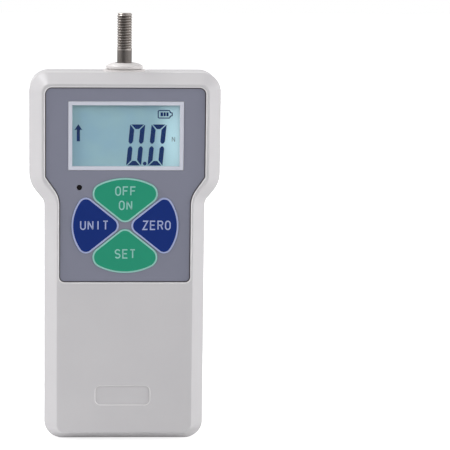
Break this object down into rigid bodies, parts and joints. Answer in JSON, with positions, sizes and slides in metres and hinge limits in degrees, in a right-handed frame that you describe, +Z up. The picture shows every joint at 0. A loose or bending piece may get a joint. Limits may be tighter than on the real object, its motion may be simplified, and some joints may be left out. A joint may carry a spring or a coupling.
{
  "type": "force gauge",
  "caption": "Hand-held digital push and pull force gauge: stepped two-shell housing, display, petal keys and a threaded measuring shaft on an internal S-shaped load cell.",
  "frame": {"origin": "middle of the base's bounding box, on the surface that the gauge stands on; the shells meet on the plane Y = 0", "axes": "+Z up along the measuring shaft, -Y is the way the display faces, +X to the right of someone reading the display"},
  "size_m": [0.073, 0.036, 0.1641],
  "materials": {
    "housing_plastic": "fine spark-eroded texture, satin",
    "panel_film": "matt printed film",
    "frame_plastic": "satin",
    "window": "clear acrylic",
    "display_glass": "reflective liquid-crystal display",
    "backlight": "white diffuser",
    "key_green": "satin printed cap",
    "key_blue": "satin printed cap",
    "circuit_board": "green solder mask",
    "chip_black": "moulded package",
    "switch_black": "moulded",
    "led_dark": "tinted lens",
    "screw_steel": "zinc plated",
    "shaft_steel": "turned and ground",
    "cell_aluminium": "milled",
    "bracket_aluminium": "milled",
    "gauge_foil": "foil on amber backing",
    "collar_plastic": "satin white",
    "cell_sleeve": "shrink sleeve",
    "cradle_plastic": "moulded",
    "jack_plastic": "moulded",
    "jack_pin": "plated",
    "port_steel": "tin plated"
  },
  "bodies": {
    "housing": {"front_shell": "housing_plastic", "rear_shell": "housing_plastic", "panel_film": "panel_film", "housing_screws": "screw_steel", "display_frame": "frame_plastic", "display_window": "window", "display_glass": "display_glass", "backlight": "backlight", "key_switches": "switch_black", "main_board": "circuit_board", "board_screws": "screw_steel", "status_led": "led_dark", "processor_chip": "chip_black", "amplifier_chip": "chip_black", "charger_jack": "jack_plastic", "charger_pin": "jack_pin", "data_port": "port_steel", "data_port_tongue": "jack_plastic", "load_cell": "cell_aluminium", "strain_gauges": "gauge_foil", "shaft_collar": "collar_plastic", "load_bracket": "bracket_aluminium", "bracket_screws": "screw_steel", "cell_bolt": "screw_steel", "battery_cell_1": "cell_sleeve", "battery_cell_2": "cell_sleeve", "battery_cell_3": "cell_sleeve", "battery_cradle": "cradle_plastic", "cradle_screws": "screw_steel"},
    "shaft": {"measuring_shaft": "shaft_steel", "shaft_lock_nut": "screw_steel"},
    "on_off_key": {"key_on_off": "key_green", "plunger_on_off": "switch_black"},
    "set_key": {"key_set": "key_green", "plunger_set": "switch_black"},
    "zero_key": {"key_zero": "key_blue", "plunger_zero": "switch_black"},
    "unit_key": {"key_unit": "key_blue", "plunger_unit": "switch_black"}
  },
  "joints": [
    {"name": "shaft_load", "type": "slide", "parent": "housing", "child": "shaft", "axis": [0, 0, 1], "range_m": [-0.0003, 0.0003], "stiffness_N_per_m": 5000, "deforming": ["load_cell"]},
    {"name": "press_on_off", "type": "slide", "parent": "housing", "child": "on_off_key", "axis": [0, 1, 0], "range_m": [0, 0.0003], "stiffness_N_per_m": 1500},
    {"name": "press_set", "type": "slide", "parent": "housing", "child": "set_key", "axis": [0, 1, 0], "range_m": [0, 0.0003], "stiffness_N_per_m": 1500},
    {"name": "press_zero", "type": "slide", "parent": "housing", "child": "zero_key", "axis": [0, 1, 0], "range_m": [0, 0.0003], "stiffness_N_per_m": 1500},
    {"name": "press_unit", "type": "slide", "parent": "housing", "child": "unit_key", "axis": [0, 1, 0], "range_m": [0, 0.0003], "stiffness_N_per_m": 1500}
  ]
}
